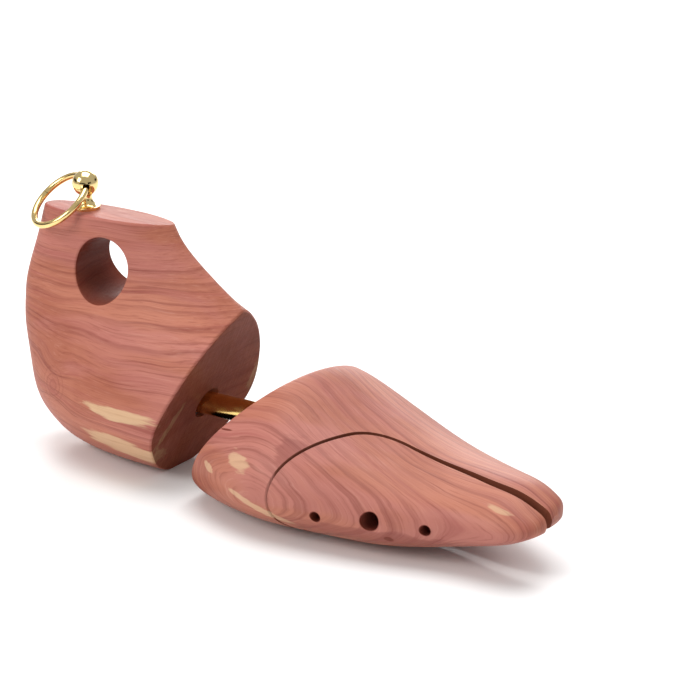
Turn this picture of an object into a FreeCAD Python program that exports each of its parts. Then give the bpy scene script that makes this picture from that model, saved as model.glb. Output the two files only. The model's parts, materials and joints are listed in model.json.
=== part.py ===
import FreeCAD, Part
import math
import os

Vector = FreeCAD.Vector

# One right-foot shoe tree. The toe points along +X, the lateral side of the foot is -Y, and
# both blocks stand on Z = 0. Sizes are in millimetres. The toe wing is drawn sprung open.

# Tube and the slide inside the heel
TUBE_Y = 5.1              # the tube and the heel block are centred on this plane
TUBE_Z = 28.5
TUBE_R = 4.6
TUBE_WALL = 1.0
TUBE_REAR_X = -56.0
TUBE_FRONT_X = 38.0
SLIDE_GAP = 0.05          # radial running clearance of the tube in its bush
HOUSING_R = 6.5
HOUSING_BORE_R = 5.5
HOUSING_REAR_X = -107.5
HOUSING_FRONT_X = -43.0
BUSH_LENGTH = 8.0
COLLAR_R = 5.4
COLLAR_LENGTH = 5.0
END_PLUG_LENGTH = 4.5
SPRING_WIRE_R = 0.6
SPRING_MEAN_R = 4.4
SPRING_TURNS = 13

# Heel block, one row per level: height, back end, front end, half width, where along X it is
# widest, and how square the plan is at the back and at the front (2 is an ellipse).
HEEL_LEVELS = [
    (0.0, -91.0, 16.0, 7.0, -46.0, 2.0, 2.2),
    (1.2, -96.5, 18.0, 11.2, -46.0, 2.0, 2.2),
    (3.5, -102.5, 20.0, 16.0, -46.0, 2.0, 2.2),
    (7.0, -108.0, 23.0, 20.8, -45.0, 2.0, 2.2),
    (12.0, -113.0, 26.0, 25.4, -44.0, 2.0, 2.2),
    (18.0, -117.2, 30.0, 29.8, -42.0, 2.0, 2.2),
    (25.0, -120.0, 32.0, 32.2, -41.0, 2.0, 2.2),
    (31.0, -121.5, 32.0, 31.8, -41.0, 2.0, 2.2),
    (39.5, -123.7, 30.0, 28.9, -42.0, 2.0, 2.2),
    (49.5, -125.5, 20.0, 24.2, -47.0, 2.1, 2.1),
    (59.5, -125.4, 4.0, 18.5, -55.0, 2.3, 1.9),
    (66.5, -124.5, -12.5, 15.0, -62.0, 2.5, 1.7),
    (71.5, -123.1, -21.5, 13.2, -67.0, 2.6, 1.55),
    (77.5, -121.1, -30.0, 11.6, -73.0, 2.6, 1.55),
    (85.5, -118.3, -40.5, 10.2, -79.0, 2.5, 1.65),
    (93.5, -116.0, -48.5, 9.4, -82.0, 2.3, 1.8),
    (98.3, -114.5, -51.5, 9.2, -83.0, 2.2, 1.9),
]
HEEL_TOP_Z = 98.3
HEEL_FACE_X = -50.1       # where the slanted front face would meet the floor
HEEL_FACE_SLOPE = 0.463   # its lean forward, X per Z
FINGER_HOLE_R = 12.7
FINGER_HOLE_X = -79.2
FINGER_HOLE_Z = 77.9
HEEL_PIN_X = -105.2
HEEL_PIN_Z = (4.0, 38.0)
TOE_PIN_X = 14.0
TOE_PIN_Z = (4.0, 38.0)
CROSS_PIN_R = 1.5         # the two pins that hold the tubes in the wood
COLLAR_PIN_R = 1.0
EDGE_ROUND = 1.0          # the sanded edges of the wood

# Toe block, one row per station: X, lateral edge, medial edge, crest height, crest position
# and underside.
TOE_STATIONS = [
    (-40.0, -12.0, 36.0, 47.5, 9.1, -0.6),
    (-25.5, -23.3, 39.2, 48.6, 9.1, -0.6),
    (-12.5, -33.1, 40.7, 49.6, 9.1, -0.6),
    (2.5, -38.7, 41.7, 51.0, 9.1, -0.6),
    (17.5, -41.7, 41.6, 51.8, 8.1, -0.6),
    (32.5, -41.1, 40.1, 46.7, 7.1, -0.6),
    (47.5, -38.3, 37.1, 40.8, 5.1, -0.5),
    (62.5, -35.2, 33.0, 36.0, 3.1, 0.5),
    (77.5, -30.8, 26.7, 33.2, 1.1, 2.7),
    (92.5, -26.3, 19.5, 32.3, -1.9, 6.1),
    (104.5, -25.0, 13.2, 32.0, -3.9, 9.8),
    (114.5, -24.1, 7.0, 30.9, -4.9, 13.5),
    (121.0, -21.6, 2.4, 28.4, -5.2, 16.6),
    (124.5, -17.8, -1.0, 26.2, -6.0, 18.8),
    (125.5, -14.2, -4.2, 24.4, -7.5, 20.2),
    (125.9, -11.9, -6.7, 23.4, -8.4, 21.2),
]
WIDEST_LEVEL = 18.5
TOE_FACE_X = -23.0        # where the slanted rear face would meet the floor on the tube's plane
TOE_FACE_SLOPE = 0.723
TOE_FACE_SKEW = 0.253
TOE_FACE_ROUND = 3.0
SOLE_FLAT_END = 42.5
SOLE_ARC_R = 186.0

# Saw cut between the fixed half of the toe and the wing, seen from above: a straight run in
# from the side, a bend to forward, then two long arcs to the tip.
KERF_BEND_START = Vector(43.2, -15.3, 0)
KERF_ENTRY_ANGLE = math.radians(54.0)
KERF_ENTRY_LENGTH = 48.0
KERF_BEND_R = 24.5
KERF_OUT_R = 146.0
KERF_OUT_ANGLE = math.radians(13.0)
KERF_TIP_R = 108.0
KERF_TIP_ANGLE = math.radians(8.0)
KERF_WIDTH = 1.0
WING_OPEN_ANGLE = 2.5

# Wing hinge: a steel plate held in the block by two pins, with the wing's pin in its eye
HINGE = Vector(36.0, -32.5, 0)
HINGE_PIN_R = 1.5
HINGE_Z = 18.0
HINGE_PLATE_T = 1.2
HINGE_PLATE_W = 8.0
HINGE_SLOT_GAP = 0.25
PLATE_PIN_R = 1.25
PLATE_PIN_STEPS = (12.0, 19.0)
PLATE_PIN_Z = (4.0, 26.0)
HINGE_PIN_Z = (7.0, 28.0)

# Holes in the wing's side: two vents, and between them the bore of the limit screw
VENT_R = 2.0
VENTS = [(44.1, 14.3), (85.3, 15.6)]
LIMIT_X = 64.8
LIMIT_Z = 16.2
LIMIT_BORE_R = 3.5
LIMIT_HEAD_R = 2.9
LIMIT_HEAD_T = 2.6
LIMIT_SHANK_R = 1.6
LIMIT_SHOULDER_Y = -18.0
LIMIT_END_Y = 18.0
LIMIT_SWAY = 0.4
LIMIT_SLEEVE_R = 2.3
WING_SPRING_POCKET_R = 4.4
WING_SPRING_REAR_Y = 3.5
WING_SPRING_FRONT_Y = -13.0
WING_SPRING_MEAN_R = 3.2
WING_SPRING_WIRE_R = 0.45
WING_SPRING_TURNS = 7

# Hanger on top of the heel: a ball knob and a loose ring through it
BALL = Vector(-94.6, 5.1, 108.55)
BALL_R = 5.2
BALL_HOLE_R = 2.3
RING_HEADING = math.radians(133.4)   # the way the ball's cross hole runs, and how far it rises
RING_TILT = math.radians(18.0)
RING_MEAN_R = 12.85
RING_WIRE_R = 1.35
RING_OFFSET = 12.42
RING_DROOP = math.radians(37.0)
FOOT_R = 5.5
FOOT_NECK_R = 2.6
STUD_R = 1.75
STUD_DEPTH = 16.0


def cylinder(radius, start, end):
    axis = end.sub(start)
    return Part.makeCylinder(radius, axis.Length, start, axis)


def tube_piece(outer, inner, x0, x1):
    """A round tube on the slide's axis."""
    start = Vector(x0, TUBE_Y, TUBE_Z)
    end = Vector(x1, TUBE_Y, TUBE_Z)
    body = cylinder(outer, start, end)
    if inner > 0:
        body = body.cut(cylinder(inner, start, end))
    return body


def closed_curve(points):
    curve = Part.BSplineCurve()
    curve.interpolate(Points=points, PeriodicFlag=True)
    return Part.Wire(curve.toShape())


def superellipse(angle, exponent):
    """A point on the unit superellipse."""
    c = math.cos(angle)
    s = math.sin(angle)
    u = math.copysign(abs(c) ** (2.0 / exponent), c)
    v = math.copysign(abs(s) ** (2.0 / exponent), s)
    return u, v


def half_space(point, normal):
    """A block that fills everything beyond a plane."""
    size = 400.0
    block = Part.makeBox(size, size, size, Vector(-size / 2, -size / 2, 0))
    turn = FreeCAD.Rotation(Vector(0, 0, 1), normal)
    block.Placement = FreeCAD.Placement(point, turn)
    return block


def round_edges(solid, radius, chosen):
    """Round the edges whose centre passes the test."""
    edges = [edge for edge in solid.Edges if chosen(edge)]
    return solid.makeFillet(radius, edges)


def heel_section(level, back, front, half, widest, rear_power, front_power):
    points = []
    count = 20
    for i in range(count):
        angle = 2 * math.pi * i / count
        ahead = math.cos(angle) > 0
        u, v = superellipse(angle, front_power if ahead else rear_power)
        reach = front - widest if ahead else widest - back
        points.append(Vector(widest + reach * u, TUBE_Y + half * v, level))
    return closed_curve(points)


def toe_section(x, lateral, medial, top, crest, bottom):
    centre = (lateral + medial) / 2
    half = (medial - lateral) / 2
    height = top - bottom
    level = max(min(WIDEST_LEVEL, bottom + 0.45 * height), bottom + 0.35 * height)
    points = []
    count = 20
    for i in range(count):
        angle = 2 * math.pi * i / count
        if math.sin(angle) >= 0:
            u, v = superellipse(angle, 2.0)
            lean = (crest - centre) * v ** 1.5
            points.append(Vector(x, centre + half * u + lean, level + (top - level) * v))
        else:
            u, v = superellipse(angle, 2.5)
            points.append(Vector(x, centre + half * u, level + (level - bottom) * v))
    return closed_curve(points)


def extruded_outline(edges, start, depth):
    face = Part.Face(Part.Wire(edges))
    solid = face.extrude(depth)
    solid.translate(start)
    return solid


def space_below_sole():
    """Everything under the sole: flat, then rising towards the tip along an arc."""
    span = 90.0
    sweep = math.asin(span / SOLE_ARC_R)

    def on_arc(angle):
        rise = SOLE_ARC_R * (1 - math.cos(angle))
        return Vector(SOLE_FLAT_END + SOLE_ARC_R * math.sin(angle), 0, rise)

    far_left = Vector(-150, 0, 0)
    low_left = Vector(-150, 0, -30)
    low_right = Vector(on_arc(sweep).x, 0, -30)
    edges = [
        Part.LineSegment(far_left, on_arc(0)).toShape(),
        Part.Arc(on_arc(0), on_arc(sweep / 2), on_arc(sweep)).toShape(),
        Part.LineSegment(on_arc(sweep), low_right).toShape(),
        Part.LineSegment(low_right, low_left).toShape(),
        Part.LineSegment(low_left, far_left).toShape(),
    ]
    return extruded_outline(edges, Vector(0, -80, 0), Vector(0, 160, 0))


def turn_from(point, heading, radius, angle):
    """Start, middle and end of an arc that leaves a point along a heading; radius < 0 turns right."""
    side = math.copysign(1.0, radius)
    r = abs(radius)
    centre = point.add(Vector(-math.sin(heading) * side * r, math.cos(heading) * side * r, 0))

    def at(a):
        h = heading + side * a
        return centre.add(Vector(math.sin(h) * side * r, -math.cos(h) * side * r, 0))

    return at(0), at(angle / 2), at(angle), heading + side * angle


def wing_side(gap):
    """The plan region on the wing's side of the kerf, moved clear of the cut by a gap."""
    shift = Vector(math.sin(KERF_ENTRY_ANGLE), -math.cos(KERF_ENTRY_ANGLE), 0)
    heading = KERF_ENTRY_ANGLE
    a, b, c, heading = turn_from(KERF_BEND_START, heading, -(KERF_BEND_R - gap), KERF_ENTRY_ANGLE)
    move = shift.multiply(gap)
    a, b, c = a.add(move), b.add(move), c.add(move)
    _, d, e, heading = turn_from(c, heading, -(KERF_OUT_R - gap), KERF_OUT_ANGLE)
    _, f, g, heading = turn_from(e, heading, KERF_TIP_R + gap, KERF_TIP_ANGLE + KERF_OUT_ANGLE)
    entry = Vector(math.cos(KERF_ENTRY_ANGLE), math.sin(KERF_ENTRY_ANGLE), 0)
    outside = a.sub(entry.multiply(KERF_ENTRY_LENGTH))
    corner_right = Vector(g.x, -90, 0)
    corner_left = Vector(outside.x, -90, 0)
    edges = [
        Part.LineSegment(outside, a).toShape(),
        Part.Arc(a, b, c).toShape(),
        Part.Arc(c, d, e).toShape(),
        Part.Arc(e, f, g).toShape(),
        Part.LineSegment(g, corner_right).toShape(),
        Part.LineSegment(corner_right, corner_left).toShape(),
        Part.LineSegment(corner_left, outside).toShape(),
    ]
    return extruded_outline(edges, Vector(0, 0, -5), Vector(0, 0, 80))


def heel_front():
    normal = Vector(1, 0, -HEEL_FACE_SLOPE)
    return half_space(Vector(HEEL_FACE_X, TUBE_Y, 0), normal)


def upright(radius, x, y, bottom, top):
    """An upright pin, or the hole for one."""
    return cylinder(radius, Vector(x, y, bottom), Vector(x, y, top))


def along_y(radius, x, z, y0, y1):
    return cylinder(radius, Vector(x, y0, z), Vector(x, y1, z))


def coil(mean_radius, wire_radius, turns, length):
    """An open coil spring along +Z from the origin, with its end turns in contact planes."""
    pitch = (length - 2 * wire_radius) / turns
    path = Part.makeHelix(pitch, length - 2 * wire_radius, mean_radius)
    path.translate(Vector(0, 0, wire_radius))
    start = path.Edges[0].Vertexes[0].Point
    ring = Part.Wire(Part.makeCircle(wire_radius, start, Vector(0, 1, 0)))
    sweep = Part.BRepOffsetAPI.MakePipeShell(path)
    sweep.setFrenetMode(True)
    sweep.add(ring)
    sweep.build()
    sweep.makeSolid()
    return sweep.shape()


def make_heel_block():
    body = Part.makeLoft([heel_section(*row) for row in HEEL_LEVELS], True, False)
    body = body.cut(heel_front())
    body = body.cut(along_y(FINGER_HOLE_R, FINGER_HOLE_X, FINGER_HOLE_Z, -60, 70))
    body = round_edges(body, EDGE_ROUND, lambda edge: True)
    body = body.cut(tube_piece(HOUSING_R, 0, HOUSING_REAR_X, 30))
    body = body.cut(upright(CROSS_PIN_R, HEEL_PIN_X, TUBE_Y, -5, HEEL_PIN_Z[1]))
    return body.cut(upright(STUD_R, BALL.x, BALL.y, HEEL_TOP_Z - STUD_DEPTH, HEEL_TOP_Z + 1))


def whole_toe():
    """The toe block before the wing is sawn off it."""
    body = Part.makeLoft([toe_section(*row) for row in TOE_STATIONS], True, False)
    rear = half_space(Vector(TOE_FACE_X, TUBE_Y, 0), Vector(-1, TOE_FACE_SKEW, TOE_FACE_SLOPE))
    body = body.cut(rear)
    body = round_edges(body, TOE_FACE_ROUND, lambda edge: edge.CenterOfMass.x < 30)
    return body.cut(space_below_sole())


def plate_direction():
    """From the hinge pin square across the kerf into the block."""
    return Vector(-math.sin(KERF_ENTRY_ANGLE), math.cos(KERF_ENTRY_ANGLE), 0)


def plate_outline(grow, reach):
    """The hinge plate's rounded outline, grown by a clearance, as a flat slab."""
    half = HINGE_PLATE_W / 2 + grow
    thick = HINGE_PLATE_T + 2 * grow
    along = plate_direction()
    across = Vector(along.y, -along.x, 0)
    low = Vector(0, 0, HINGE_Z - thick / 2)
    near = HINGE.add(low)
    far = near.add(along * reach)
    edges = [
        Part.LineSegment(near.add(across * half), far.add(across * half)).toShape(),
        Part.Arc(far.add(across * half), far.add(along * half), far.sub(across * half)).toShape(),
        Part.LineSegment(far.sub(across * half), near.sub(across * half)).toShape(),
        Part.Arc(near.sub(across * half), near.sub(along * half), near.add(across * half)).toShape(),
    ]
    return extruded_outline(edges, Vector(0, 0, 0), Vector(0, 0, thick))


def plate_pin_places():
    return [HINGE.add(plate_direction() * step) for step in PLATE_PIN_STEPS]


def make_toe_block(toe):
    body = toe.cut(wing_side(0.0))
    body = body.cut(tube_piece(TUBE_R, 0, -60, TUBE_FRONT_X))
    body = body.cut(upright(CROSS_PIN_R, TOE_PIN_X, TUBE_Y, -5, TOE_PIN_Z[1]))
    body = body.cut(plate_outline(0, PLATE_PIN_STEPS[1]))
    for place in plate_pin_places():
        body = body.cut(upright(PLATE_PIN_R, place.x, place.y, -5, PLATE_PIN_Z[1]))
    body = body.cut(along_y(LIMIT_SHANK_R, LIMIT_X, LIMIT_Z, -30, LIMIT_END_Y))
    return body.cut(along_y(WING_SPRING_POCKET_R, LIMIT_X, LIMIT_Z, -30, WING_SPRING_REAR_Y))


def make_toe_wing(toe):
    body = toe.common(wing_side(KERF_WIDTH))
    body.rotate(HINGE, Vector(0, 0, 1), -WING_OPEN_ANGLE)
    body = body.cut(plate_outline(HINGE_SLOT_GAP, PLATE_PIN_STEPS[1]))
    body = body.cut(upright(HINGE_PIN_R, HINGE.x, HINGE.y, -5, HINGE_PIN_Z[1]))
    for x, z in VENTS:
        body = body.cut(along_y(VENT_R, x, z, -80, 20))
    x = LIMIT_X + LIMIT_SWAY
    body = body.cut(along_y(LIMIT_BORE_R, x, LIMIT_Z, -80, LIMIT_SHOULDER_Y))
    body = body.cut(along_y(LIMIT_SLEEVE_R, x, LIMIT_Z, -80, 20))
    return body.cut(along_y(WING_SPRING_POCKET_R, x, LIMIT_Z, WING_SPRING_FRONT_Y, 20))


def make_slide_tube():
    body = tube_piece(TUBE_R, TUBE_R - TUBE_WALL, TUBE_REAR_X, TUBE_FRONT_X)
    body = body.cut(upright(CROSS_PIN_R, TOE_PIN_X, TUBE_Y, -5, TOE_PIN_Z[1]))
    return body.cut(collar_pin())


def collar_x():
    return TUBE_REAR_X + COLLAR_LENGTH


def collar_pin():
    x = TUBE_REAR_X + COLLAR_LENGTH / 2
    return along_y(COLLAR_PIN_R, x, TUBE_Z, TUBE_Y - COLLAR_R + 0.2, TUBE_Y + COLLAR_R - 0.2)


def make_stop_collar():
    return tube_piece(COLLAR_R, TUBE_R, TUBE_REAR_X, collar_x()).cut(collar_pin())


def make_tube_dowel():
    body = tube_piece(TUBE_R - TUBE_WALL, 0, TOE_PIN_X - 12, TUBE_FRONT_X)
    return body.cut(upright(CROSS_PIN_R, TOE_PIN_X, TUBE_Y, -5, TOE_PIN_Z[1]))


def heel_cross_hole():
    return upright(CROSS_PIN_R, HEEL_PIN_X, TUBE_Y, -5, HEEL_PIN_Z[1])


def make_housing_tube():
    body = tube_piece(HOUSING_R, HOUSING_BORE_R, HOUSING_REAR_X, HOUSING_FRONT_X)
    return body.cut(heel_cross_hole())


def make_housing_plug():
    body = tube_piece(HOUSING_BORE_R, 0, HOUSING_REAR_X, plug_front())
    nose = tube_piece(SPRING_MEAN_R - SPRING_WIRE_R - 0.3, 0, plug_front(), plug_front() + 6)
    return body.fuse(nose).removeSplitter().cut(heel_cross_hole())


def plug_front():
    return HOUSING_REAR_X + END_PLUG_LENGTH


def make_mouth_bush():
    rear = HOUSING_FRONT_X - BUSH_LENGTH
    return tube_piece(HOUSING_BORE_R, TUBE_R + SLIDE_GAP, rear, HOUSING_FRONT_X)


def make_tube_spring():
    length = TUBE_REAR_X - plug_front()
    spring = coil(SPRING_MEAN_R, SPRING_WIRE_R, SPRING_TURNS, length)
    spring.rotate(Vector(0, 0, 0), Vector(0, 1, 0), 90)
    spring.translate(Vector(plug_front(), TUBE_Y, TUBE_Z))
    return spring


def make_wing_spring():
    length = WING_SPRING_REAR_Y - WING_SPRING_FRONT_Y
    spring = coil(WING_SPRING_MEAN_R, WING_SPRING_WIRE_R, WING_SPRING_TURNS, length)
    spring.rotate(Vector(0, 0, 0), Vector(1, 0, 0), -90)
    spring.translate(Vector(LIMIT_X, WING_SPRING_FRONT_Y, LIMIT_Z))
    return spring


def make_limit_screw():
    shank = along_y(LIMIT_SHANK_R, LIMIT_X, LIMIT_Z, LIMIT_SHOULDER_Y, LIMIT_END_Y)
    under_head = LIMIT_SHOULDER_Y - LIMIT_HEAD_T
    head = along_y(LIMIT_HEAD_R, LIMIT_X, LIMIT_Z, under_head, LIMIT_SHOULDER_Y)
    slot = Part.makeBox(2 * LIMIT_HEAD_R, 1.0, 0.8,
                        Vector(LIMIT_X - LIMIT_HEAD_R, under_head, LIMIT_Z - 0.4))
    return head.cut(slot).fuse(shank).removeSplitter()


def make_hinge_plate():
    body = plate_outline(0, PLATE_PIN_STEPS[1])
    body = body.cut(upright(HINGE_PIN_R + SLIDE_GAP, HINGE.x, HINGE.y, 0, 40))
    for place in plate_pin_places():
        body = body.cut(upright(PLATE_PIN_R, place.x, place.y, 0, 40))
    return body


def make_plate_pins():
    pins = [upright(PLATE_PIN_R, p.x, p.y, PLATE_PIN_Z[0], PLATE_PIN_Z[1]) for p in plate_pin_places()]
    return Part.makeCompound(pins)


def make_hinge_pin():
    return upright(HINGE_PIN_R, HINGE.x, HINGE.y, HINGE_PIN_Z[0], HINGE_PIN_Z[1])


def make_knob_foot():
    """The flared foot: a thin disc, then a hollow-sided trumpet up to the neck."""
    rim_top = HEEL_TOP_Z + 1.2
    neck_z = BALL.z - BALL_R + 0.6
    flare = FOOT_R - 0.6 - FOOT_NECK_R
    rise = neck_z - rim_top

    def at(angle):
        reach = FOOT_NECK_R + flare * (1 - math.sin(angle))
        return Vector(BALL.x + reach, BALL.y, rim_top + rise * (1 - math.cos(angle)))

    corners = [Vector(BALL.x, BALL.y, HEEL_TOP_Z), Vector(BALL.x + FOOT_R, BALL.y, HEEL_TOP_Z),
               Vector(BALL.x + FOOT_R, BALL.y, rim_top), at(0)]
    neck = at(math.pi / 2)
    axis_top = Vector(BALL.x, BALL.y, neck.z)
    edges = [Part.LineSegment(p, q).toShape() for p, q in zip(corners, corners[1:])]
    edges.append(Part.Arc(at(0), at(math.pi / 4), neck).toShape())
    edges.append(Part.LineSegment(neck, axis_top).toShape())
    edges.append(Part.LineSegment(axis_top, corners[0]).toShape())
    body = Part.Face(Part.Wire(edges)).revolve(BALL, Vector(0, 0, 1), 360)
    body = body.cut(Part.makeSphere(BALL_R, BALL))
    return body.cut(upright(STUD_R, BALL.x, BALL.y, 0, 200))


def ring_axis():
    """Along the ball's cross hole, from the near side to the far side."""
    level = math.cos(RING_TILT)
    return Vector(level * math.cos(RING_HEADING), level * math.sin(RING_HEADING), math.sin(RING_TILT))


def make_knob_ball():
    body = Part.makeSphere(BALL_R, BALL)
    reach = ring_axis() * (2 * BALL_R)
    body = body.cut(cylinder(BALL_HOLE_R, BALL.sub(reach), BALL.add(reach)))
    return body.cut(upright(STUD_R, BALL.x, BALL.y, 0, stud_top()))


def stud_top():
    return BALL.z - BALL_HOLE_R - 1.1


def make_knob_stud():
    return upright(STUD_R, BALL.x, BALL.y, HEEL_TOP_Z - STUD_DEPTH, stud_top())


def make_hanger_ring():
    """The ring hangs from the ball and leans out over the heel's back edge."""
    axis = ring_axis()
    outward = Vector(-math.sin(RING_HEADING), math.cos(RING_HEADING), 0)
    down = outward.cross(axis)
    towards = outward * math.cos(RING_DROOP) + down * math.sin(RING_DROOP)
    centre = BALL.add(towards * RING_OFFSET)
    return Part.makeTorus(RING_MEAN_R, RING_WIRE_R, centre, axis.cross(towards))


def main():
    os.makedirs("parts", exist_ok=True)
    toe = whole_toe()
    parts = {
        "toe_block": make_toe_block(toe),
        "toe_wing": make_toe_wing(toe),
        "heel_block": make_heel_block(),
        "slide_tube": make_slide_tube(),
        "tube_dowel": make_tube_dowel(),
        "toe_tube_pin": upright(CROSS_PIN_R, TOE_PIN_X, TUBE_Y, *TOE_PIN_Z),
        "stop_collar": make_stop_collar(),
        "collar_pin": collar_pin(),
        "housing_tube": make_housing_tube(),
        "housing_plug": make_housing_plug(),
        "mouth_bush": make_mouth_bush(),
        "heel_tube_pin": upright(CROSS_PIN_R, HEEL_PIN_X, TUBE_Y, *HEEL_PIN_Z),
        "tube_spring": make_tube_spring(),
        "hinge_plate": make_hinge_plate(),
        "hinge_plate_pins": make_plate_pins(),
        "wing_hinge_pin": make_hinge_pin(),
        "wing_spring": make_wing_spring(),
        "wing_limit_screw": make_limit_screw(),
        "knob_foot": make_knob_foot(),
        "knob_ball": make_knob_ball(),
        "knob_stud": make_knob_stud(),
        "hanger_ring": make_hanger_ring(),
    }
    for name, shape in parts.items():
        box = shape.BoundBox
        print(name, shape.ShapeType, shape.isValid(), round(shape.Volume, 1),
              [round(v, 1) for v in (box.XMin, box.YMin, box.ZMin, box.XMax, box.YMax, box.ZMax)])
        shape.exportStep("parts/" + name + ".step")


main()
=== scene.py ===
import bpy
import json
import math
from collections import namedtuple
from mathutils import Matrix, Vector


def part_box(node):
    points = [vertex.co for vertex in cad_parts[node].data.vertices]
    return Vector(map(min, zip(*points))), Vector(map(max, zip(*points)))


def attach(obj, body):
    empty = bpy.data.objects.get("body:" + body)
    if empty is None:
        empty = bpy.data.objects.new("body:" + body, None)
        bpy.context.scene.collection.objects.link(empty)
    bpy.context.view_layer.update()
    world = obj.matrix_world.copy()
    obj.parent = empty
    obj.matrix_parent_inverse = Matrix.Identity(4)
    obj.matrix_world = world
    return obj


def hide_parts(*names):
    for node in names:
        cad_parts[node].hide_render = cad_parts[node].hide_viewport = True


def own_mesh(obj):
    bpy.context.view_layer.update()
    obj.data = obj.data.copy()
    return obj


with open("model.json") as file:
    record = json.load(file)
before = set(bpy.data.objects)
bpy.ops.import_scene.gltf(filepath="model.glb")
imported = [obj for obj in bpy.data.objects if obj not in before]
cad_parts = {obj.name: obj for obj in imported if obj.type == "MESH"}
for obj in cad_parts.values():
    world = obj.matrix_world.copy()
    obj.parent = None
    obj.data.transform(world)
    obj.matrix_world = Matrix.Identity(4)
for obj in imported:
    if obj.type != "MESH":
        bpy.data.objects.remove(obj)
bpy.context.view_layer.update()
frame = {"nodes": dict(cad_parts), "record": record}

# Camera: where it stands, what it looks at, and its lens in millimetres
CAMERA_PLACE = (0.48847, -0.68620, 0.34391)
CAMERA_TARGET = (-0.0077, 0.06202, 0.0395)
CAMERA_LENS = 121.4
SENSOR_WIDTH = 36.0

# Studio: soft lights, a pale floor, and black cards that only glossy reflections see
MIDDLE = (0.0, 0.0, 0.04)
FLOOR_SIZE = 8.0
FLOOR_DROP = 0.0002       # keeps the floor just clear of the object's flat sole
WORLD_LIGHT = 0.50
WORLD_SEEN = (0.98, 0.98, 0.98, 1.0)
CARD_BLACK = (0.006, 0.005, 0.004, 1.0)
AREA_LIGHTS = [
    # name, place, width, height, watts, colour
    ("overhead", (-0.10, 0.20, 1.60), 1.3, 1.3, 21.0, (1.0, 1.0, 1.0)),
    ("front_left", (-0.75, -1.30, 1.00), 0.8, 0.8, 12.0, (1.0, 0.985, 0.965)),
    ("back", (-0.85, 1.30, 0.62), 1.2, 0.6, 12.0, (1.0, 1.0, 1.0)),
]
BLACK_CARDS = [
    # name, place, what it faces, width, height
    ("card_right", (0.95, -0.25, 0.30), MIDDLE, 0.55, 0.26),
    ("card_left", (-0.95, -0.35, 0.32), MIDDLE, 0.80, 0.22),
    ("card_front", (0.20, -1.05, 0.26), MIDDLE, 1.10, 0.20),
    ("card_back", (0.50, 1.00, 0.34), MIDDLE, 0.60, 0.26),
    # The last card is a black sheet on the floor between heel and toe, standing in for the shade there, so
    # the tube's underside and the wood's sheen reflect dark
    ("gap_shade_card", (-0.036, 0.030, 0.0003), (-0.036, 0.030, 1.0), 0.034, 0.16),
]

# Wood colours, linear
HEART_LIGHT = (0.480, 0.180, 0.118)
HEART_MID = (0.385, 0.128, 0.080)
HEART_DARK = (0.205, 0.048, 0.036)
FIBRE_LIGHT = (0.640, 0.330, 0.250)
PINK = (0.460, 0.172, 0.150)
ROSE = (0.320, 0.084, 0.072)
SAP_CREAM = (0.660, 0.450, 0.270)
SAP_LINE = (0.440, 0.235, 0.120)
# darker tone of end grain, laid on deeper than the wood's own as painted shade; the saw cut's walls use it
# as painted shade too
END_GRAIN_AND_SHADE = (0.150, 0.036, 0.014)
# painted shade: the dark tone laid on the walls of the drilled holes, standing in for the shade inside
# them; two small dark marks on the toe and wing take the same tone
HOLE_SHADE = (0.125, 0.016, 0.006)
BLUSH = (0.230, 0.060, 0.050)

# Cedar's figure. Noise scales are cycles per metre: along the trunk, which is X, and across it.
BEND_SCALE = (11.0, 24.0, 24.0)
BEND_REACH = 0.012        # how far the grain wanders sideways
RIPPLE_SCALE = (30.0, 140.0, 140.0)
RIPPLE_REACH = 0.0014     # how far a growth ring wavers
BROAD_SCALE = (16.0, 34.0, 34.0)
PINK_SCALE = (9.0, 46.0, 46.0)
PATCH_SCALE = (45.0, 420.0, 420.0)
SAW_SCALE = (160.0, 1400.0, 160.0)
SANDING_SCALE = 1100.0
KNOT_RING = 0.0026        # spacing of the tight rings round a knot
KNOT_WAVER = 0.0035

# Streaks that follow the rings: scales along, with the rings and across, then seed step and detail
STREAK = (9.0, 330.0, 18.0, 0.0, 3.0)
THIN_LINE = (16.0, 1150.0, 50.0, 3.0, 3.0)
FIBRE = (60.0, 2600.0, 700.0, 5.0, 4.0)

WOOD_ROUGHNESS = 0.36
FIBRE_ROUGHNESS = 0.24
RING_POLISH = 0.05        # hard latewood lines are this much smoother

SCRATCH_SCALE = (300.0, 5200.0, 5200.0)
SEAM_TURN = math.radians(62.0)      # where the ring's wire closes, from the side away from the ball
SEAM_COLOUR = (0.05, 0.03, 0.01)

Patch = namedtuple("Patch", "centre radii amount seed turn ragged tone", defaults=((0, 0, 0), 0.85, None))
Knot = namedtuple("Knot", "centre reach push")
BoreShade = namedtuple("BoreShade", "point radius amount")
CutShade = namedtuple("CutShade", "direction amount")


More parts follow.
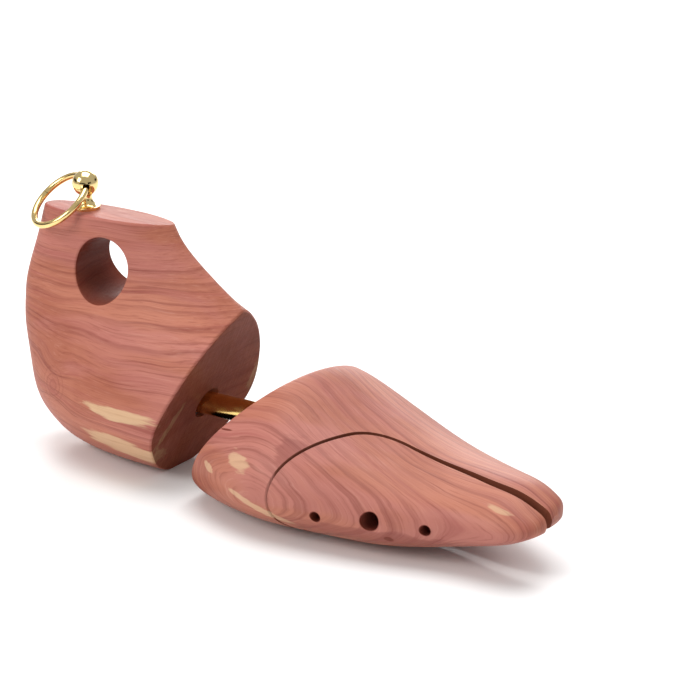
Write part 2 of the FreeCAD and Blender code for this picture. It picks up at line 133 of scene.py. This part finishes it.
class Graph:
    """A short way to write a node tree: each call adds nodes and returns the last one's output."""

    def __init__(self, name):
        self.material = bpy.data.materials.new(name)
        self.material.use_nodes = True
        self.nodes = self.material.node_tree.nodes
        self.links = self.material.node_tree.links
        self.shader = self.nodes["Principled BSDF"]
        self.place = self.nodes.new("ShaderNodeTexCoord").outputs["Object"]

    def put(self, socket, value):
        if hasattr(value, "is_output"):
            self.links.new(value, socket)
        else:
            socket.default_value = value

    def surface(self, name, value):
        self.put(self.shader.inputs[name], value)

    def mapping(self, vector, location=(0, 0, 0), rotation=(0, 0, 0), scale=(1, 1, 1)):
        node = self.nodes.new("ShaderNodeMapping")
        self.put(node.inputs["Vector"], vector)
        node.inputs["Location"].default_value = location
        node.inputs["Rotation"].default_value = rotation
        node.inputs["Scale"].default_value = scale
        return node.outputs[0]

    def noise(self, vector, scale, detail=3.0, roughness=0.55):
        node = self.nodes.new("ShaderNodeTexNoise")
        self.put(node.inputs["Vector"], vector)
        node.inputs["Scale"].default_value = scale
        node.inputs["Detail"].default_value = detail
        node.inputs["Roughness"].default_value = roughness
        return node.outputs["Fac"]

    def stretched_noise(self, scale, location=(0, 0, 0), detail=3.0, roughness=0.55):
        return self.noise(self.mapping(self.place, location=location, scale=scale), 1.0, detail, roughness)

    def math(self, operation, a, b=0.0):
        node = self.nodes.new("ShaderNodeMath")
        node.operation = operation
        self.put(node.inputs[0], a)
        self.put(node.inputs[1], b)
        return node.outputs[0]

    def add(self, a, b):
        return self.math("ADD", a, b)

    def times(self, a, b):
        return self.math("MULTIPLY", a, b)

    def centred(self, value):
        """A noise that runs from 0 to 1, shifted to run about 0."""
        return self.math("SUBTRACT", value, 0.5)

    def vector(self, operation, a, b=(0, 0, 0)):
        node = self.nodes.new("ShaderNodeVectorMath")
        node.operation = operation
        self.put(node.inputs[0], a)
        self.put(node.inputs[1], b)
        return node.outputs["Value" if operation in ("LENGTH", "DOT_PRODUCT") else "Vector"]

    def split(self, vector):
        node = self.nodes.new("ShaderNodeSeparateXYZ")
        self.put(node.inputs[0], vector)
        return node.outputs

    def join(self, x, y, z):
        node = self.nodes.new("ShaderNodeCombineXYZ")
        for socket, value in zip(node.inputs, (x, y, z)):
            self.put(socket, value)
        return node.outputs[0]

    def span(self, value, low, high, to_low=0.0, to_high=1.0):
        """A smooth step between two levels of a value."""
        node = self.nodes.new("ShaderNodeMapRange")
        node.interpolation_type = "SMOOTHSTEP"
        for name, part in (("Value", value), ("From Min", low), ("From Max", high),
                           ("To Min", to_low), ("To Max", to_high)):
            self.put(node.inputs[name], part)
        return node.outputs[0]

    def mix(self, factor, a, b):
        node = self.nodes.new("ShaderNodeMix")
        node.data_type = "RGBA"
        self.put(node.inputs[0], factor)
        self.put(node.inputs[6], a if hasattr(a, "is_output") else (*a, 1.0))
        self.put(node.inputs[7], b if hasattr(b, "is_output") else (*b, 1.0))
        return node.outputs[2]

    def tint(self, colour, tone, mask, amount):
        """Lay a tone over a colour where the mask is, at most by amount."""
        return self.mix(self.times(mask, amount), colour, tone)

    def bump(self, height, strength, distance, normal=None):
        node = self.nodes.new("ShaderNodeBump")
        node.inputs["Strength"].default_value = strength
        node.inputs["Distance"].default_value = distance
        self.put(node.inputs["Height"], height)
        if normal is not None:
            self.put(node.inputs["Normal"], normal)
        return node.outputs[0]

    def shape_normal(self):
        """The surface's own normal, which turns with the piece."""
        geometry = self.nodes.new("ShaderNodeNewGeometry")
        local = self.nodes.new("ShaderNodeVectorTransform")
        local.vector_type = "NORMAL"
        local.convert_from = "WORLD"
        local.convert_to = "OBJECT"
        self.put(local.inputs[0], geometry.outputs["Normal"])
        return local.outputs[0]


def patch_mask(g, patch, edge=0.22):
    """1 inside a soft, ragged ellipsoid and 0 outside it."""
    moved = g.vector("SUBTRACT", g.place, patch.centre)
    turned = g.mapping(moved, rotation=tuple(math.radians(-a) for a in patch.turn))
    reach = g.vector("LENGTH", g.vector("DIVIDE", turned, patch.radii))
    wobble = g.stretched_noise(PATCH_SCALE, location=(patch.seed,) * 3, detail=4.0)
    reach = g.add(reach, g.times(g.centred(wobble), 2 * patch.ragged))
    return g.span(reach, 1.0 - edge, 1.0 + edge, 1.0, 0.0)


def trunk(g, pith, tilt, knots, seed):
    """Place along the trunk, across it and out from the pith, with bends, knots and ripple in it."""
    slow = g.mapping(g.place, location=(seed, 2 * seed, 3 * seed), scale=BEND_SCALE)
    bend_y = g.centred(g.noise(slow, 1.0, 2.0))
    bend_z = g.centred(g.noise(g.vector("ADD", slow, (7.3, 1.1, 4.2)), 1.0, 2.0))
    shift = g.join(0.0, g.times(bend_y, BEND_REACH), g.times(bend_z, BEND_REACH))
    wood = g.vector("ADD", g.place, shift)
    for knot in knots:
        off = g.vector("SUBTRACT", g.place, knot.centre)
        near = g.span(g.vector("LENGTH", off), 0.0, 1.6 * knot.reach, 1.0, 0.0)
        push = g.vector("SCALE", off)
        g.put(push.node.inputs["Scale"], g.times(near, knot.push))
        wood = g.vector("ADD", wood, push)
    turned = g.mapping(g.vector("SUBTRACT", wood, pith), rotation=tuple(math.radians(a) for a in tilt))
    x, y, z = g.split(turned)
    ripple = g.centred(g.stretched_noise(RIPPLE_SCALE))
    radius = g.add(g.vector("LENGTH", g.join(0.0, y, z)), g.times(ripple, RIPPLE_REACH))
    return x, y, radius, ripple


def growth_rings(g, x, radius, ring_width, seed):
    """Dark latewood lines that fade in over each year and end sharply, some years stronger."""
    rings = g.math("DIVIDE", radius, ring_width)
    phase = g.math("FRACT", rings)
    year = g.math("FLOOR", rings)
    late = g.times(g.span(phase, 0.45, 0.92), g.span(phase, 0.93, 1.0, 1.0, 0.0))
    strength = g.span(g.noise(g.join(year, seed, 0.0), 1.73, 1.0), 0.34, 0.66, 0.05, 1.0)
    worn = g.noise(g.join(g.times(x, 18.0), year, seed), 1.0, 2.0)
    return g.times(late, g.times(strength, g.span(worn, 0.25, 0.6, 0.35, 1.0)))


def streaks(g, x, across, radius, layer, seed):
    """Streaks that run along the trunk and follow the rings."""
    along_scale, ring_scale, across_scale, seed_step, detail = layer
    place = g.join(g.times(x, along_scale), g.times(radius, ring_scale),
                   g.add(g.times(across, across_scale), seed + seed_step))
    return g.noise(place, 1.0, detail, 0.6)


def heartwood(g, late, streak, thin, fibre, seed, late_depth):
    """Broad tone and rosy clouds, then streaks, year lines, thin lines and fibres."""
    broad = g.stretched_noise(BROAD_SCALE, location=(0, seed, 0))
    colour = g.mix(g.span(broad, 0.34, 0.66), HEART_MID, HEART_LIGHT)
    rosy = g.stretched_noise(PINK_SCALE, location=(seed, seed, 0))
    colour = g.tint(colour, PINK, g.span(rosy, 0.44, 0.62), 0.60)
    colour = g.tint(colour, ROSE, g.span(streak, 0.50, 0.72), 0.62)
    colour = g.tint(colour, HEART_LIGHT, g.span(streak, 0.46, 0.28), 0.30)
    colour = g.tint(colour, HEART_DARK, late, late_depth)
    colour = g.tint(colour, HEART_DARK, g.span(thin, 0.52, 0.72), 0.55)
    colour = g.tint(colour, HEART_DARK, g.span(fibre, 0.52, 0.76), 0.46)
    return g.tint(colour, FIBRE_LIGHT, g.span(fibre, 0.48, 0.26), 0.20)


def add_sapwood(g, colour, patches, thin, fibre):
    """Cream sapwood with faint lines of its own."""
    for patch in patches:
        cream = g.mix(g.times(g.span(thin, 0.5, 0.72), 0.40), SAP_CREAM, SAP_LINE)
        cream = g.tint(cream, SAP_LINE, g.span(fibre, 0.5, 0.8), 0.30)
        colour = g.tint(colour, cream, patch_mask(g, patch), patch.amount)
    return colour


def add_knots(g, colour, knots, ripple):
    """Tight rings about a rosy heart."""
    for knot in knots:
        off = g.vector("SUBTRACT", g.place, knot.centre)
        out = g.add(g.vector("LENGTH", off), g.times(ripple, KNOT_WAVER))
        swirl = g.math("FRACT", g.math("DIVIDE", out, KNOT_RING))
        line = g.times(g.span(swirl, 0.5, 0.9), g.span(swirl, 0.9, 1.0, 1.0, 0.0))
        inside = g.span(out, 0.35 * knot.reach, knot.reach, 1.0, 0.0)
        colour = g.tint(colour, HEART_DARK, g.times(line, inside), 0.40)
        colour = g.tint(colour, ROSE, g.span(out, 0.0, 0.6 * knot.reach, 1.0, 0.0), 0.35)
    return colour


def add_cut_grain_and_shade(g, colour, cut_shades, facing):
    """Faces cut across the grain are darker, and show the marks of the saw; part of the darkening is
    painted shade.
    """
    saw = g.span(g.stretched_noise(SAW_SCALE, roughness=0.65), 0.25, 0.7, 0.70, 1.0)
    for cut in cut_shades:
        face = g.span(g.vector("DOT_PRODUCT", facing, cut.direction), 0.90, 0.97)
        colour = g.tint(colour, END_GRAIN_AND_SHADE, g.times(face, saw), cut.amount)
    return colour


def add_bore_shade(g, colour, bore_shades):
    """Painted shade: the walls of holes drilled along Y are darkened, standing in for the shade inside
    them.
    """
    for bore in bore_shades:
        x, _, z = g.split(g.vector("SUBTRACT", g.place, bore.point))
        off_axis = g.vector("LENGTH", g.join(x, 0.0, z))
        bore_shade_mask = g.span(off_axis, bore.radius + 0.0003, bore.radius + 0.0001)
        colour = g.tint(colour, HOLE_SHADE, bore_shade_mask, bore.amount)
    return colour


def add_kerf_shade(g, colour, direction, from_x, facing):
    """Painted shade on the upright walls of the saw cut between toe and wing, which face the given way."""
    upright = g.span(g.math("ABSOLUTE", g.split(facing)[2]), 0.01, 0.03, 1.0, 0.0)
    towards = g.span(g.vector("DOT_PRODUCT", facing, direction), 0.30, 0.45)
    beyond = g.span(g.split(g.place)[0], from_x, from_x + 0.0005)
    return g.tint(colour, END_GRAIN_AND_SHADE, g.times(g.times(upright, towards), beyond), 0.78)


def cedar(name, pith, tilt, ring_width, seed, sapwood=(), stains=(), knots=(), cut_shades=(), bore_shades=(),
          kerf_shade=None, late_depth=0.48, shine=0.20):
    """Red cedar as a solid: growth rings about a tilted pith, so sides, tops and cuts agree."""
    g = Graph(name)
    x, across, radius, ripple = trunk(g, pith, tilt, knots, seed)
    late = growth_rings(g, x, radius, ring_width, seed)
    streak = streaks(g, x, across, radius, STREAK, seed)
    thin = streaks(g, x, across, radius, THIN_LINE, seed)
    fibre = streaks(g, x, across, radius, FIBRE, seed)
    facing = g.shape_normal()

    colour = heartwood(g, late, streak, thin, fibre, seed, late_depth)
    colour = add_sapwood(g, colour, sapwood, thin, fibre)
    for stain in stains:
        colour = g.tint(colour, stain.tone, patch_mask(g, stain), stain.amount)
    colour = add_knots(g, colour, knots, ripple)
    colour = add_cut_grain_and_shade(g, colour, cut_shades, facing)
    colour = add_bore_shade(g, colour, bore_shades)
    if kerf_shade:
        colour = add_kerf_shade(g, colour, *kerf_shade, facing)
    g.surface("Base Color", colour)

    rough = g.add(WOOD_ROUGHNESS, g.times(fibre, FIBRE_ROUGHNESS))
    g.surface("Roughness", g.math("SUBTRACT", rough, g.times(late, RING_POLISH)))
    g.surface("Specular IOR Level", shine)
    g.surface("Coat Weight", 0.04)
    g.surface("Coat Roughness", 0.32)
    height = g.add(g.add(g.times(fibre, 0.8), g.times(late, 0.4)), g.times(thin, 0.5))
    grain = g.bump(height, 0.40, 0.00018)
    g.surface("Normal", g.bump(g.noise(g.place, SANDING_SCALE, 2.0, 0.5), 0.10, 0.0002, grain))
    return g.material


def metal(name, colour, tarnish, rough, brushed=0.0, seam=None):
    """Polished or drawn metal with fine wear, faint cloudiness and, on a bent ring, its closing seam."""
    g = Graph(name)
    cloud = g.noise(g.place, 160.0, 4.0, 0.6)
    scratch = g.stretched_noise(SCRATCH_SCALE, roughness=0.6)
    specks = g.noise(g.place, 2600.0, 2.0, 0.7)
    tone = g.mix(g.span(cloud, 0.35, 0.75), colour, tarnish)
    tone = g.mix(g.span(specks, 0.70, 0.80, 0.0, 0.35), tone, tuple(0.45 * c for c in colour))
    if seam:
        point, along = seam
        off = g.vector("SUBTRACT", g.place, point)
        gap = g.span(g.math("ABSOLUTE", g.vector("DOT_PRODUCT", off, along)), 0.00004, 0.00010, 1.0, 0.0)
        close = g.span(g.vector("LENGTH", off), 0.0030, 0.0040, 1.0, 0.0)
        tone = g.mix(g.times(gap, close), tone, SEAM_COLOUR)
    g.surface("Base Color", tone)
    g.surface("Metallic", 1.0)
    wear = g.add(g.times(g.span(cloud, 0.3, 0.8), 0.10), g.times(scratch, 0.08 + brushed))
    g.surface("Roughness", g.add(wear, rough))
    g.surface("Normal", g.bump(scratch, 0.06 + brushed, 0.00006))
    return g.material


def nylon(name):
    """Black moulded nylon with a fine moulded grain."""
    g = Graph(name)
    grain = g.noise(g.place, 3200.0, 3.0, 0.6)
    cloud = g.noise(g.place, 220.0)
    g.surface("Base Color", g.mix(g.span(cloud, 0.3, 0.7), (0.014, 0.013, 0.013), (0.030, 0.028, 0.027)))
    g.surface("Roughness", g.span(cloud, 0.3, 0.7, 0.38, 0.52))
    g.surface("Normal", g.bump(grain, 0.2, 0.00005))
    return g.material


def beech(name):
    """Pale beech with soft bands and short dark flecks."""
    g = Graph(name)
    flecks = g.stretched_noise((500.0, 2400.0, 2400.0), roughness=0.6)
    band = g.stretched_noise((30.0, 400.0, 400.0))
    tone = g.mix(g.span(band, 0.3, 0.7), (0.60, 0.38, 0.20), (0.46, 0.26, 0.13))
    g.surface("Base Color", g.mix(g.span(flecks, 0.60, 0.75, 0.0, 0.5), tone, (0.30, 0.15, 0.07)))
    g.surface("Roughness", g.span(flecks, 0.3, 0.7, 0.5, 0.65))
    g.surface("Normal", g.bump(flecks, 0.3, 0.0001))
    return g.material


def joint(name):
    return next(j for j in frame["record"]["behaviour"]["joints"] if j["name"] == name)


def ring_seam():
    """Where the ring's two ends meet, and the way the wire runs there."""
    low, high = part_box("hanger_ring")
    centre = (low + high) / 2
    ball_low, ball_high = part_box("knob_ball")
    spoke = centre - (ball_low + ball_high) / 2
    axis = Vector(joint("ring_swing")["axis"]).normalized()
    away = (spoke - axis * spoke.dot(axis)).normalized()
    outward = away * math.cos(SEAM_TURN) + axis * math.sin(SEAM_TURN)
    along = axis * math.cos(SEAM_TURN) - away * math.sin(SEAM_TURN)
    return centre + outward * spoke.length, along


def dress(nodes, material):
    """Give a material to CAD nodes."""
    for node in nodes:
        materials = frame["nodes"][node].data.materials
        materials.clear()
        materials.append(material)


def squeezed_spring(node, body, material):
    """A coil spring in place of its CAD node: a copy of the node's mesh with its own material, carried by
    the body.
    """
    spring = bpy.data.objects.new(node + "_coil", frame["nodes"][node].data.copy())
    bpy.context.collection.objects.link(spring)
    spring.data.materials.clear()
    spring.data.materials.append(material)
    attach(spring, body)
    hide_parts(node)
    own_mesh(spring)


def make_springs(wire):
    """The tube spring sits on the housing's plug, the wing spring at the end of its pocket."""
    squeezed_spring("tube_spring", "heel", wire)
    squeezed_spring("wing_spring", "toe", wire)


def aim(thing, target):
    heading = Vector(target) - thing.location
    thing.rotation_euler = heading.to_track_quat("-Z", "Y").to_euler()


def make_floor():
    bpy.ops.mesh.primitive_plane_add(size=FLOOR_SIZE, location=(0, 0, -FLOOR_DROP))
    floor = bpy.context.object
    floor.name = "floor"
    g = Graph("studio_floor")
    dust = g.noise(g.place, 14.0)
    g.surface("Base Color", g.mix(dust, (0.90, 0.90, 0.90), (0.93, 0.93, 0.93)))
    g.surface("Roughness", 0.6)
    g.surface("Specular IOR Level", 0.15)
    floor.data.materials.append(g.material)


def area_light(name, place, width, height, power, colour):
    data = bpy.data.lights.new(name, "AREA")
    data.shape = "RECTANGLE"
    data.size = width
    data.size_y = height
    data.energy = power
    data.color = colour
    light = bpy.data.objects.new(name, data)
    bpy.context.collection.objects.link(light)
    light.location = place
    aim(light, MIDDLE)


def black_card(name, place, target, width, height):
    """A card that only glossy reflections see."""
    bpy.ops.mesh.primitive_plane_add(size=1, location=place)
    card = bpy.context.object
    card.name = name
    card.scale = (width, height, 1)
    aim(card, target)
    g = Graph(name)
    g.surface("Base Color", CARD_BLACK)
    g.surface("Roughness", 1.0)
    g.surface("Specular IOR Level", 0.0)
    card.data.materials.append(g.material)
    card.visible_camera = False
    card.visible_diffuse = False
    card.visible_shadow = False
    card.visible_transmission = False


def make_world():
    """An even, dim light from all round, which the camera sees as a plain pale backdrop."""
    world = bpy.data.worlds.new("studio")
    bpy.context.scene.world = world
    world.use_nodes = True
    tree = world.node_tree
    lit = tree.nodes["Background"]
    lit.inputs["Color"].default_value = (1.0, 1.0, 1.0, 1.0)
    lit.inputs["Strength"].default_value = WORLD_LIGHT
    seen = tree.nodes.new("ShaderNodeBackground")
    seen.inputs["Color"].default_value = WORLD_SEEN
    ray = tree.nodes.new("ShaderNodeLightPath")
    both = tree.nodes.new("ShaderNodeMixShader")
    tree.links.new(ray.outputs["Is Camera Ray"], both.inputs[0])
    tree.links.new(lit.outputs[0], both.inputs[1])
    tree.links.new(seen.outputs[0], both.inputs[2])
    tree.links.new(both.outputs[0], tree.nodes["World Output"].inputs["Surface"])


def make_camera():
    data = bpy.data.cameras.new("camera")
    data.lens = CAMERA_LENS
    data.sensor_width = SENSOR_WIDTH
    camera = bpy.data.objects.new("camera", data)
    bpy.context.collection.objects.link(camera)
    camera.location = CAMERA_PLACE
    aim(camera, CAMERA_TARGET)
    bpy.context.scene.camera = camera


bpy.context.scene.view_settings.view_transform = "Standard"
make_camera()
make_floor()
for area in AREA_LIGHTS:
    area_light(*area)
for black in BLACK_CARDS:
    black_card(*black)
make_world()

# The heel: one plank with a knot low at the back and sapwood along its lower edge
FINGER_HOLE = frame["record"]["mounts"][0]
HEEL_SAPWOOD = [
    Patch((-0.056, -0.0260, 0.0288), (0.0180, 0.008, 0.0026), 0.85, seed=1.0),
    Patch((-0.056, -0.0205, 0.0130), (0.0200, 0.010, 0.0046), 0.80, seed=2.0, turn=(0, 8, 0)),
    Patch((-0.0390, -0.0170, 0.0240), (0.007, 0.0016, 0.014), 0.90, seed=5.0, turn=(-25, 0, 0)),
    Patch((-0.0345, 0.0335, 0.0330), (0.006, 0.0022, 0.011), 0.85, seed=6.0),
    Patch((-0.078, 0.0260, 0.0200), (0.030, 0.010, 0.0045), 0.75, seed=7.0, turn=(0, 5, 0)),
]
HEEL_KNOT = Knot((-0.0955, -0.0190, 0.0318), 0.0110, 0.7)
# the heel's front face: end grain, darkened further with painted shade from the gap between heel and toe
HEEL_FRONT = CutShade((0.907, 0.0, -0.42), 0.80)
dress(["heel_block"], cedar("cedar_heel", pith=(0.0, 0.035, -0.090), tilt=(0, 2.0, 1.0),
                            ring_width=0.0042, seed=3.7, sapwood=HEEL_SAPWOOD, knots=[HEEL_KNOT],
                            cut_shades=[HEEL_FRONT], late_depth=0.36, shine=0.08,
                            # the finger hole's walls get painted shade
                            bore_shades=[BoreShade(FINGER_HOLE["pos_m"], FINGER_HOLE["dims"]["r_mm"] / 1000, 0.80)]))

# The toe and its wing: one plank, sawn in two, so they share the grain
TOE_PLANK = dict(pith=(0.0, 0.105, 0.010), tilt=(0, 3.0, 7.0), ring_width=0.0040, seed=8.1)
# painted shade on the saw cut's walls: the way each piece's walls face, and where along X it starts
TOE_KERF_SHADE = ((0.25, -0.97, 0.0), 0.026)
WING_KERF_SHADE = ((-0.25, 0.97, 0.0), 0.0)
# the toe's rear face: end grain, darkened partly as painted shade
TOE_REAR = CutShade((-0.795, 0.2, 0.575), 0.55)
BOTTOM_STREAK = Patch((0.021, -0.0405, 0.0125), (0.016, 0.005, 0.0013), 0.62, seed=4.0, turn=(0, 17, 0))
TOE_SAPWOOD = [
    Patch((0.0090, -0.0375, 0.0276), (0.0050, 0.006, 0.0030), 0.62, seed=3.0, turn=(0, 16, 0), ragged=1.0),
    Patch((-0.0062, -0.0355, 0.0215), (0.0028, 0.003, 0.0013), 0.58, seed=9.0, turn=(0, 22, 0), ragged=0.7),
    BOTTOM_STREAK,
    Patch((0.030, 0.0380, 0.0150), (0.032, 0.008, 0.003), 0.70, seed=11.0, turn=(0, 3, 0)),
]
TOE_STAINS = [
    Patch((0.029, -0.0325, 0.034), (0.006, 0.007, 0.007), 0.50, seed=12.0, tone=BLUSH),
    Patch((-0.0026, -0.0288, 0.0350), (0.0032, 0.003, 0.0003), 0.85, seed=16.0, turn=(0, -8, 0),
          ragged=0.3, tone=HOLE_SHADE),
]
WING_SAPWOOD = [
    BOTTOM_STREAK,
    Patch((0.1106, -0.0227, 0.0267), (0.0050, 0.003, 0.0007), 0.55, seed=13.0, turn=(0, 9, 0)),
]
WING_STAINS = [
    Patch((0.068, -0.034, 0.0095), (0.036, 0.012, 0.0036), 0.55, seed=14.0, tone=BLUSH),
    Patch((0.0716, -0.0327, 0.0099), (0.0018, 0.003, 0.0012), 0.70, seed=15.0, ragged=0.4, tone=HOLE_SHADE),
]
# painted shade on the walls of the wing's holes
WING_BORE_SHADES = [
    BoreShade((0.0441, 0.0, 0.0143), 0.0020, 0.85),
    BoreShade((0.0652, 0.0, 0.0162), 0.0035, 0.80),
    BoreShade((0.0853, 0.0, 0.0156), 0.0020, 0.85),
]
dress(["toe_block"], cedar("cedar_toe", **TOE_PLANK, sapwood=TOE_SAPWOOD, stains=TOE_STAINS,
                           cut_shades=[TOE_REAR], kerf_shade=TOE_KERF_SHADE))
dress(["toe_wing"], cedar("cedar_wing", **TOE_PLANK, sapwood=WING_SAPWOOD, stains=WING_STAINS,
                          bore_shades=WING_BORE_SHADES, kerf_shade=WING_KERF_SHADE))

# Brass and steel: colour, tarnish, roughness and how brushed it is
dress(["knob_ball", "knob_foot"], metal("polished_brass", (0.92, 0.72, 0.34), (0.84, 0.60, 0.24), 0.05))
dress(["hanger_ring"], metal("ring_brass", (0.92, 0.70, 0.32), (0.84, 0.58, 0.22), 0.05, seam=ring_seam()))
dress(["slide_tube"], metal("tube_brass", (0.95, 0.70, 0.26), (0.86, 0.58, 0.18), 0.07))
dress(["stop_collar", "collar_pin", "housing_tube", "housing_plug", "toe_tube_pin", "heel_tube_pin",
       "hinge_plate", "hinge_plate_pins", "wing_hinge_pin", "wing_limit_screw", "knob_stud"],
      metal("drawn_steel", (0.58, 0.57, 0.55), (0.42, 0.41, 0.40), 0.22, 0.10))
make_springs(metal("spring_wire", (0.42, 0.42, 0.44), (0.26, 0.26, 0.28), 0.25, 0.08))
dress(["mouth_bush"], nylon("bush_nylon"))
dress(["tube_dowel"], beech("dowel_beech"))
